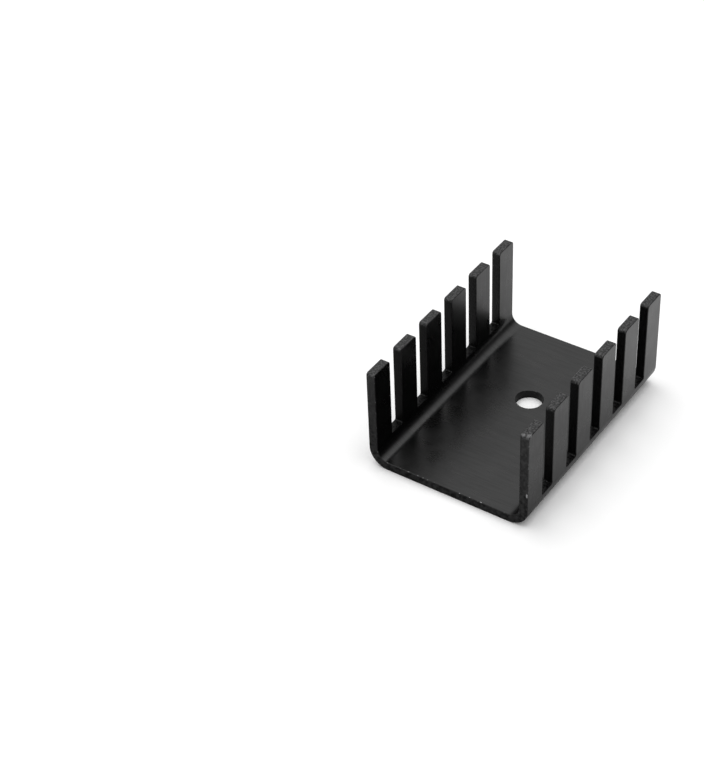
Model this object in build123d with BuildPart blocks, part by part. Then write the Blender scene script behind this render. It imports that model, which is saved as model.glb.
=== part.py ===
from build123d import *
import os

# Sizes of the heat sink, in millimetres. It is punched and folded from one aluminium sheet.
width = 22.4  # across the two rows of fins, from outside to outside
height = 14.3  # from the underside to the tips of the fins
sheet = 1.2  # thickness of the sheet
fold_inside_radius = 1.5  # of the two folds, on the side of the channel

fins_per_row = 6
fin_width = 3.35  # of each fin, measured along the fold
slot_width = 2.4  # of the gap between two fins
slot_above_fold = 0.2  # from the end of the fold's curve up to the floor of a slot
slot_corner_radius = 0.2  # in the two corners of a slot's floor
tip_corner_radius = 0.4  # on the two corners of a fin's tip

screw_hole_diameter = 3.5  # lets an M3 screw through
screw_hole_offset = 3.45  # from the middle of the base towards its back end
edge_break = 0.06  # bevel along every cut edge, on both faces of the sheet

# Sizes that follow from them.
fin_pitch = fin_width + slot_width
length = fins_per_row * fin_width + (fins_per_row - 1) * slot_width
fold_outside_radius = fold_inside_radius + sheet
slot_floor = fold_outside_radius + slot_above_fold

# The frame: X runs across the channel, Y along the folds and Z up the fins.
# Its origin is on the underside, below the middle of the base.
with BuildPart() as heat_sink:
    # The folded channel is a base with a wall of the same sheet turned up along each side.
    with BuildSketch(Plane.XZ):
        with BuildLine():
            FilletPolyline(
                (-width / 2, height),
                (-width / 2, 0),
                (width / 2, 0),
                (width / 2, height),
                radius=fold_outside_radius,
            )
            offset(amount=sheet, side=Side.LEFT)
        make_face()
    extrude(amount=length / 2, both=True)

    # Slots through both walls leave a row of fins along each side.
    with BuildSketch(Plane.YZ) as slots:
        with Locations((0, slot_floor)):
            with GridLocations(fin_pitch, 0, fins_per_row - 1, 1):
                Rectangle(slot_width, height - slot_floor, align=(Align.CENTER, Align.MIN))
        slot_floor_corners = slots.vertices().group_by(Axis.Y)[0]
        fillet(slot_floor_corners, radius=slot_corner_radius)
    extrude(amount=width, both=True, mode=Mode.SUBTRACT)

    # The corners of the tips are rounded across the sheet's thickness.
    tip_corners = heat_sink.edges().filter_by(Axis.X).group_by(Axis.Z)[-1]
    fillet(tip_corners, radius=tip_corner_radius)

    # One hole through the base takes the screw that clamps a power transistor to it.
    with Locations((0, screw_hole_offset, sheet)):
        Hole(radius=screw_hole_diameter / 2, depth=sheet)

    # Every edge that the press cut is broken by a small bevel. Left as they are: the lines where
    # a fold runs into flat sheet, and the lines across the thickness in the slots and tips.
    edges = heat_sink.edges()
    fold_lines = edges.filter_by(Axis.Y).filter_by_position(Axis.Z, 0, fold_outside_radius)
    thickness_lines = edges.filter_by(Axis.X).filter_by_position(Axis.Z, slot_floor, height)
    hole_seam = edges.filter_by(Axis.Z).filter_by_position(Axis.Z, 0, sheet)
    cut_edges = edges - fold_lines - thickness_lines - hole_seam
    chamfer(cut_edges, length=edge_break)

heat_sink.part.label = "heat_sink"

os.makedirs("parts", exist_ok=True)
export_step(heat_sink.part, "parts/heat_sink.step")
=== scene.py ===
import bpy
import math
from mathutils import Matrix, Vector


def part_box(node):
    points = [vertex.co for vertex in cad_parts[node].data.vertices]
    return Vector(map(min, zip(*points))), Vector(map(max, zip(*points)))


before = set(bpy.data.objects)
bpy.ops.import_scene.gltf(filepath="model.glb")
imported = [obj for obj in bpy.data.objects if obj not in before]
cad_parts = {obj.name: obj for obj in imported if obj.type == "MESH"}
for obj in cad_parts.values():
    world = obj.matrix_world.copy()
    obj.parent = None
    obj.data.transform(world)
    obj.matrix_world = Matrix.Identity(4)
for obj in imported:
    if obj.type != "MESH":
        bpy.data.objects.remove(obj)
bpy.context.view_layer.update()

# The heat sink is one strip of 1.2 mm aluminium sheet, punched with six fins along each side and
# folded up into a channel. Then it was etched, dyed and sealed satin black: the rolled faces keep a
# faint grain across the strip, and the torn cut faces take the dye unevenly and rub bare first.
heat_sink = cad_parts["heat_sink"]
low_corner, high_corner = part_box("heat_sink")
fold_outside_radius = 0.0027
fold_centre_x = high_corner[0] - fold_outside_radius
tip_height = high_corner[2]
front_end = low_corner[1]

# Where a tip, the front end, either end and the edge round a slot's floor begin and are whole.
tip_zone = (tip_height - 0.00045, tip_height - 0.0002)
front_zone = (front_end + 0.0011, front_end + 0.0002)
end_zone = (-front_end - 0.0004, -front_end - 0.00015)
below_slot_floor = (fold_outside_radius - 0.0002, fold_outside_radius)
above_slot_floor = (fold_outside_radius + 0.0008, fold_outside_radius + 0.0005)

black_dye = (0.0007, 0.0007, 0.00075, 1.0)
thin_dye = (0.05, 0.05, 0.051, 1.0)
bare_aluminium = (0.42, 0.42, 0.43, 1.0)
anodising_ior = 1.62
satin_roughness = (0.27, 0.33)
rolled_roughness = (-0.015, 0.015)
torn_roughness = (0.34, 0.5)
punched_dullness = 0.5
slot_floor_edge_dullness = 0.7
bare_metal_share = 0.6

# How fine each grain is, in cycles to the metre, how it is stretched, and how deep it is in metres.
rolled_grain, rolled_stretch, rolled_relief = 5200.0, (0.05, 1.0, 0.05), 0.0000024
etch_blotches, blotch_relief = 420.0, 0.000008
torn_grain, torn_stretch, torn_relief = 4200.0, (1.0, 1.0, 0.8), 0.000045
pit_grain = 2600.0
scuff_grain = 1500.0

# Marks from handling, each with its place and its reach along X, Y and Z.
inner_rub = ((0.01028, -0.01588, 0.01426), (0.00036, 0.0003, 0.00024))
outer_rub = ((0.01104, -0.01560, 0.01428), (0.00032, 0.00034, 0.00028))
rub_between = ((0.0106, -0.01584, 0.01426), (0.0007, 0.0003, 0.00022))
nick = ((0.01103, -0.01605, 0.00525), (0.00014, 0.0002, 0.0004))
scratch = ((-0.00596, -0.0083, 0.0012), (0.00007, 0.0018, 0.0002))
inner_rub_strength = 0.7
rub_between_strength = 0.5
scratch_strength = 0.2


def new_material(name):
    material = bpy.data.materials.new(name)
    material.use_nodes = True
    material.node_tree.nodes.clear()
    return material


def add_node(tree, kind, **settings):
    """A new node, set out in rows so that the tree can be read in the editor."""
    row, column = divmod(len(tree.nodes), 10)
    node = tree.nodes.new(kind)
    node.location = (column * 220, -row * 300)
    for name, value in settings.items():
        setattr(node, name, value)
    return node


def feed(tree, socket, term):
    """Set a socket to a number or a colour, or link another node's output to it."""
    if isinstance(term, bpy.types.NodeSocket):
        tree.links.new(term, socket)
    else:
        socket.default_value = term


def calculate(tree, operation, *terms):
    node = add_node(tree, "ShaderNodeMath", operation=operation)
    for socket, term in zip(node.inputs, terms):
        feed(tree, socket, term)
    return node.outputs[0]


def product(tree, first, *others):
    for other in others:
        first = calculate(tree, "MULTIPLY", first, other)
    return first


def opposite(tree, mask):
    return calculate(tree, "SUBTRACT", 1.0, mask)


def blend(tree, kind, mask, without, within):
    """A mix of two numbers (FLOAT) or two colours (RGBA) by a mask."""
    node = add_node(tree, "ShaderNodeMix", data_type=kind)
    feed(tree, node.inputs["Factor"], mask)
    feed(tree, node.inputs["A"], without)
    feed(tree, node.inputs["B"], within)
    return node.outputs["Result"]


def ease(tree, value, low, high, to_low=0.0, to_high=1.0, interpolation="SMOOTHSTEP"):
    """Goes from one level to another while the value goes from low to high."""
    node = add_node(tree, "ShaderNodeMapRange", interpolation_type=interpolation)
    feed(tree, node.inputs["Value"], value)
    node.inputs["From Min"].default_value = low
    node.inputs["From Max"].default_value = high
    node.inputs["To Min"].default_value = to_low
    node.inputs["To Max"].default_value = to_high
    return node.outputs["Result"]


def grain(tree, where, scale, stretch=(1.0, 1.0, 1.0), detail=2.0):
    """Fractal noise over the part, with its coordinates in metres."""
    laid = add_node(tree, "ShaderNodeMapping")
    laid.inputs["Scale"].default_value = stretch
    noise = add_node(tree, "ShaderNodeTexNoise")
    noise.inputs["Scale"].default_value = scale
    noise.inputs["Detail"].default_value = detail
    feed(tree, laid.inputs["Vector"], where)
    feed(tree, noise.inputs["Vector"], laid.outputs["Vector"])
    return noise.outputs["Fac"]


def mark(tree, where, centre, reach):
    """One where the surface is at the centre, falling to nothing at the reach."""
    off = add_node(tree, "ShaderNodeVectorMath", operation="SUBTRACT")
    off.inputs[1].default_value = centre
    scaled = add_node(tree, "ShaderNodeVectorMath", operation="DIVIDE")
    scaled.inputs[1].default_value = reach
    length = add_node(tree, "ShaderNodeVectorMath", operation="LENGTH")
    feed(tree, off.inputs[0], where)
    feed(tree, scaled.inputs[0], off.outputs[0])
    feed(tree, length.inputs[0], scaled.outputs[0])
    return ease(tree, length.outputs["Value"], 1.0, 0.45)


def black_anodising():
    material = new_material("satin_black_anodising")
    tree = material.node_tree
    output = add_node(tree, "ShaderNodeOutputMaterial")
    surface = add_node(tree, "ShaderNodeBsdfPrincipled")
    surface.inputs["IOR"].default_value = anodising_ior
    feed(tree, output.inputs["Surface"], surface.outputs["BSDF"])

    coordinates = add_node(tree, "ShaderNodeTexCoord")
    where = coordinates.outputs["Object"]
    looks = coordinates.outputs["Normal"]
    split = add_node(tree, "ShaderNodeSeparateXYZ")
    feed(tree, split.inputs[0], where)
    across, along, height = split.outputs

    # The direction that the sheet's own face looks in, worked out from the place in the folded
    # section: up on the base, outwards on the walls, and away from the fold's centre in between.
    past_fold_centre = calculate(tree, "SUBTRACT", calculate(tree, "ABSOLUTE", across),
                                 fold_centre_x)
    outwards = product(tree, calculate(tree, "MAXIMUM", past_fold_centre, 0.0),
                       calculate(tree, "SIGN", across))
    downwards = calculate(tree, "MINIMUM",
                          calculate(tree, "SUBTRACT", height, fold_outside_radius), 0.0)
    sheet_way = add_node(tree, "ShaderNodeCombineXYZ")
    sheet_normal = add_node(tree, "ShaderNodeVectorMath", operation="NORMALIZE")
    likeness = add_node(tree, "ShaderNodeVectorMath", operation="DOT_PRODUCT")
    feed(tree, sheet_way.inputs["X"], outwards)
    feed(tree, sheet_way.inputs["Z"], downwards)
    feed(tree, sheet_normal.inputs[0], sheet_way.outputs[0])
    feed(tree, likeness.inputs[0], sheet_normal.outputs[0])
    feed(tree, likeness.inputs[1], looks)

    # How far a face looks the sheet's way tells them apart: 1 on a rolled face, 0 on a cut one and
    # 0.71 on the broken edge between them.
    facing = calculate(tree, "ABSOLUTE", likeness.outputs["Value"])
    cut_face = ease(tree, facing, 0.62, 0.35)
    broken_edge = product(tree, ease(tree, facing, 0.55, 0.68), ease(tree, facing, 0.92, 0.75))
    tip = product(tree, cut_face, ease(tree, height, *tip_zone))
    near_front = ease(tree, along, *front_zone)
    at_an_end = ease(tree, calculate(tree, "ABSOLUTE", along), *end_zone)
    end_face = product(tree, cut_face, at_an_end)
    punched_face = product(tree, cut_face,
                           opposite(tree, calculate(tree, "MAXIMUM", tip, at_an_end)))
    looks_up = add_node(tree, "ShaderNodeSeparateXYZ")
    feed(tree, looks_up.inputs[0], looks)
    slot_floor = product(tree, punched_face, ease(tree, looks_up.outputs["Z"], 0.1, 0.35))
    slot_floor_edge = product(tree, broken_edge, ease(tree, height, *above_slot_floor),
                              ease(tree, height, *below_slot_floor), opposite(tree, at_an_end))

    # Fine grain that the rolls left, soft blotches of the etch, and the torn grain of the cuts.
    rolled = grain(tree, where, rolled_grain, rolled_stretch, detail=3.0)
    blotches = grain(tree, where, etch_blotches)
    torn = grain(tree, where, torn_grain, torn_stretch, detail=3.0)
    pitted = grain(tree, where, pit_grain)
    scuffs = grain(tree, where, scuff_grain, detail=3.0)

    # Bare metal shows in chips on the broken edges, most of them low down at the front end. It
    # shows too where the nearest fin's tip was rubbed, and in a nick on the front of that fin.
    chips = product(tree, broken_edge, ease(tree, pitted, 0.60, 0.68),
                    calculate(tree, "MULTIPLY_ADD", near_front, 0.75, 0.12),
                    ease(tree, height, 0.0016, 0.004, 1.0, 0.3))
    inner_half = calculate(
        tree, "MAXIMUM", product(tree, mark(tree, where, *inner_rub), inner_rub_strength),
        product(tree, mark(tree, where, *rub_between), rub_between_strength))
    rubbed = product(tree, calculate(tree, "MAXIMUM", inner_half, mark(tree, where, *outer_rub)),
                     ease(tree, torn, 0.36, 0.6, 0.08, 0.3))
    marks = calculate(tree, "MAXIMUM", rubbed, mark(tree, where, *nick))
    bare = calculate(tree, "MAXIMUM", marks, chips)

    # The dye is thinner in specks of the two ends and of the tips, and along one scratch.
    thin = calculate(tree, "ADD", product(tree, end_face, ease(tree, torn, 0.4, 0.7, 0.015, 0.3)),
                     product(tree, tip, ease(tree, torn, 0.45, 0.66, 0.07, 0.85)))
    thin = calculate(tree, "ADD", thin,
                     product(tree, mark(tree, where, *scratch), scratch_strength))
    dye = blend(tree, "RGBA", thin, black_dye, thin_dye)
    feed(tree, surface.inputs["Base Color"], blend(tree, "RGBA", bare, dye, bare_aluminium))

    # Metal as black as the dye doesn't shine, so the Metallic input takes the gleam off: in pits of
    # the tips and slot floors, all over the walls of the slots and the screw hole, in scuffs of the
    # ends and, faintly, in streaks along the rolled grain. Bare aluminium is metal too.
    lustreless = product(tree, calculate(tree, "ADD", tip, slot_floor),
                         ease(tree, torn, 0.56, 0.36, 0.0, 0.45))
    lustreless = calculate(tree, "MULTIPLY_ADD", punched_face, punched_dullness, lustreless)
    lustreless = calculate(tree, "MULTIPLY_ADD", slot_floor_edge, slot_floor_edge_dullness,
                           lustreless)
    scuffed = product(tree, end_face, ease(tree, height, 0.0045, 0.007, 1.0, 0.25),
                      ease(tree, scuffs, 0.55, 0.38, 0.0, 0.6))
    lustreless = calculate(tree, "ADD", lustreless, scuffed)
    streaks = product(tree, opposite(tree, cut_face), ease(tree, rolled, 0.35, 0.7, 0.0, 0.11))
    lustreless = calculate(tree, "ADD", lustreless, streaks)
    feed(tree, surface.inputs["Metallic"],
         calculate(tree, "MAXIMUM", lustreless, product(tree, bare, bare_metal_share)))

    # Satin on the rolled faces, duller where the sheet was torn.
    satin = calculate(tree, "ADD", ease(tree, blotches, 0.3, 0.7, *satin_roughness),
                      ease(tree, rolled, 0.3, 0.7, *rolled_roughness))
    dull = ease(tree, torn, 0.3, 0.7, *torn_roughness)
    feed(tree, surface.inputs["Roughness"], blend(tree, "FLOAT", cut_face, satin, dull))

    # Relief: thousandths of a millimetre on the rolled faces, hundredths on the cut ones.
    fine = calculate(tree, "ADD", product(tree, rolled, rolled_relief),
                     product(tree, blotches, blotch_relief))
    coarse = product(tree, torn, torn_relief)
    bump = add_node(tree, "ShaderNodeBump")
    bump.inputs["Strength"].default_value = 1.0
    bump.inputs["Distance"].default_value = 1.0
    feed(tree, bump.inputs["Height"], blend(tree, "FLOAT", cut_face, fine, coarse))
    feed(tree, surface.inputs["Normal"], bump.outputs["Normal"])
    return material


heat_sink.material_slots[0].material = black_anodising()

# The floor is a wide white board that the part rests on. Seen directly it is white, with the part's
# own soft shadow on it. The black metal mirrors it with painted shade in its colour: darkest around
# a spot at the front left, a little darker on the left, and darker again past the right-hand side.
floor_half_width = 1.5
floor_white = 0.96
floor_white_to_camera = 1.02
painted_shade_centre = (-0.009, -0.022, 0.0)
# Distance from the spot where the painted shade is deepest, in metres, and how bright the floor is
# mirrored there.
painted_shade_by_distance = ((0.0, 0.205), (0.014, 0.205), (0.020, 0.245), (0.025, 0.47), (0.030, 0.56),
              (0.036, 0.58), (0.044, 0.72), (0.060, 0.90))
# Painted shade too: the mirrored floor is a little darker on the left, and far darker well past the
# right-hand side.
left_side, painted_shade_left = (0.003, 0.013), 0.91
right_edge, painted_shade_far_right = (0.028, 0.050), 0.12

floor_mesh = bpy.data.meshes.new("floor")
floor_mesh.from_pydata(
    [(-floor_half_width, -floor_half_width, 0), (floor_half_width, -floor_half_width, 0),
     (floor_half_width, floor_half_width, 0), (-floor_half_width, floor_half_width, 0)],
    [],
    [(0, 1, 2, 3)],
)
floor = bpy.data.objects.new("floor", floor_mesh)
bpy.context.scene.collection.objects.link(floor)


def grey(brightness):
    return (brightness, brightness, brightness, 1.0)


def white_floor():
    material = new_material("white_floor")
    tree = material.node_tree
    output = add_node(tree, "ShaderNodeOutputMaterial")
    paint = add_node(tree, "ShaderNodeBsdfDiffuse")
    feed(tree, output.inputs["Surface"], paint.outputs[0])

    where = add_node(tree, "ShaderNodeTexCoord").outputs["Object"]
    # The floor's colour in reflections carries painted shade, deepest at one spot at the front left
    # and lighter further away.
    from_painted_shade_centre = add_node(tree, "ShaderNodeVectorMath", operation="DISTANCE")
    from_painted_shade_centre.inputs[1].default_value = painted_shade_centre
    feed(tree, from_painted_shade_centre.inputs[0], where)
    reach = painted_shade_by_distance[-1][0]
    shade_curve = add_node(tree, "ShaderNodeValToRGB")
    stops = shade_curve.color_ramp.elements
    stops[0].position, stops[0].color = 0.0, grey(painted_shade_by_distance[0][1])
    stops[1].position, stops[1].color = 1.0, grey(painted_shade_by_distance[-1][1])
    for distance, brightness in painted_shade_by_distance[1:-1]:
        stops.new(distance / reach).color = grey(brightness)
    feed(tree, shade_curve.inputs["Fac"],
         calculate(tree, "DIVIDE", from_painted_shade_centre.outputs["Value"], reach))

    # More painted shade towards the left and the far right; only glossy rays see this darker floor
    # colour.
    to_right = add_node(tree, "ShaderNodeSeparateXYZ")
    feed(tree, to_right.inputs[0], where)
    mirrored = product(tree, shade_curve.outputs["Color"],
                       ease(tree, to_right.outputs["X"], *right_edge, 1.0, painted_shade_far_right),
                       ease(tree, to_right.outputs["X"], *left_side, painted_shade_left, 1.0))
    seen = add_node(tree, "ShaderNodeLightPath")
    direct = blend(tree, "FLOAT", seen.outputs["Is Camera Ray"], floor_white,
                   floor_white_to_camera)
    feed(tree, paint.inputs["Color"],
         blend(tree, "FLOAT", seen.outputs["Is Glossy Ray"], direct, mirrored))
    return material


floor_mesh.materials.append(white_floor())

# The light is a white room with one large softbox overhead, a little behind and to the left. The
# metal mirrors the room brighter upwards and dim on the right. Where it mirrors itself, the room
# behind that second reflection is nearly dark.
room_fill = 0.58
mirrored_heights, mirrored_low, mirrored_high = (0.35, 0.9), 0.33, 1.40
mirrored_right, mirrored_right_side = (0.40, 0.80), 0.12
twice_mirrored_room = 0.06
past_first_reflection = 1.5
softbox_size = 1.4
softbox_radiance = 1.52
softbox_place = (-0.1, 0.15, 1.0)


def white_room():
    world = bpy.data.worlds.new("white_room")
    world.use_nodes = True
    tree = world.node_tree
    room = tree.nodes["Background"]
    room.inputs["Color"].default_value = grey(1.0)
    heading = add_node(tree, "ShaderNodeTexCoord")
    split = add_node(tree, "ShaderNodeSeparateXYZ")
    feed(tree, split.inputs[0], heading.outputs["Generated"])
    once_mirrored = product(
        tree,
        ease(tree, split.outputs["X"], *mirrored_right, 1.0, mirrored_right_side),
        ease(tree, split.outputs["Z"], *mirrored_heights, mirrored_low, mirrored_high, "LINEAR"))
    seen = add_node(tree, "ShaderNodeLightPath")
    twice = calculate(tree, "GREATER_THAN", seen.outputs["Glossy Depth"], past_first_reflection)
    mirrored = blend(tree, "FLOAT", twice, once_mirrored, twice_mirrored_room)
    feed(tree, room.inputs["Strength"],
         blend(tree, "FLOAT", seen.outputs["Is Glossy Ray"], room_fill, mirrored))
    return world


bpy.context.scene.world = white_room()

softbox_data = bpy.data.lights.new("softbox", "AREA")
softbox_data.shape = "SQUARE"
softbox_data.size = softbox_size
softbox_data.energy = softbox_radiance * math.pi * softbox_size ** 2
softbox = bpy.data.objects.new("softbox", softbox_data)
bpy.context.scene.collection.objects.link(softbox)
softbox.location = softbox_place
softbox.rotation_euler = (-softbox.location).to_track_quat("-Z", "Y").to_euler()
softbox.visible_glossy = False

# The camera stands to the right of the open end and looks down on the part. Its place, tilt and
# focal length were fitted to the photograph's edges and corners.
photo_width, photo_height = 704, 757
camera_turn = math.radians(36.245)
camera_rise = math.radians(39.344)
camera_tilt = math.radians(-2.959)
camera_distance = 0.24991
part_right_of_centre = 0.020509
part_below_centre = 0.005413
focal_length_px = 1989.1

camera_data = bpy.data.cameras.new("camera")
camera_data.sensor_width = 36.0
camera_data.lens = focal_length_px * camera_data.sensor_width / max(photo_width, photo_height)
camera_data.clip_start = 0.01
camera = bpy.data.objects.new("camera", camera_data)
bpy.context.scene.collection.objects.link(camera)
back = Vector((
    math.sin(camera_turn) * math.cos(camera_rise),
    -math.cos(camera_turn) * math.cos(camera_rise),
    math.sin(camera_rise),
))
level_right = Vector((math.cos(camera_turn), math.sin(camera_turn), 0))
level_up = back.cross(level_right)
right = level_right * math.cos(camera_tilt) + level_up * math.sin(camera_tilt)
up = level_up * math.cos(camera_tilt) - level_right * math.sin(camera_tilt)
place = back * camera_distance - right * part_right_of_centre + up * part_below_centre
camera.matrix_world = Matrix.Translation(place) @ Matrix((right, up, back)).transposed().to_4x4()
bpy.context.scene.camera = camera

bpy.context.scene.view_settings.view_transform = "Standard"
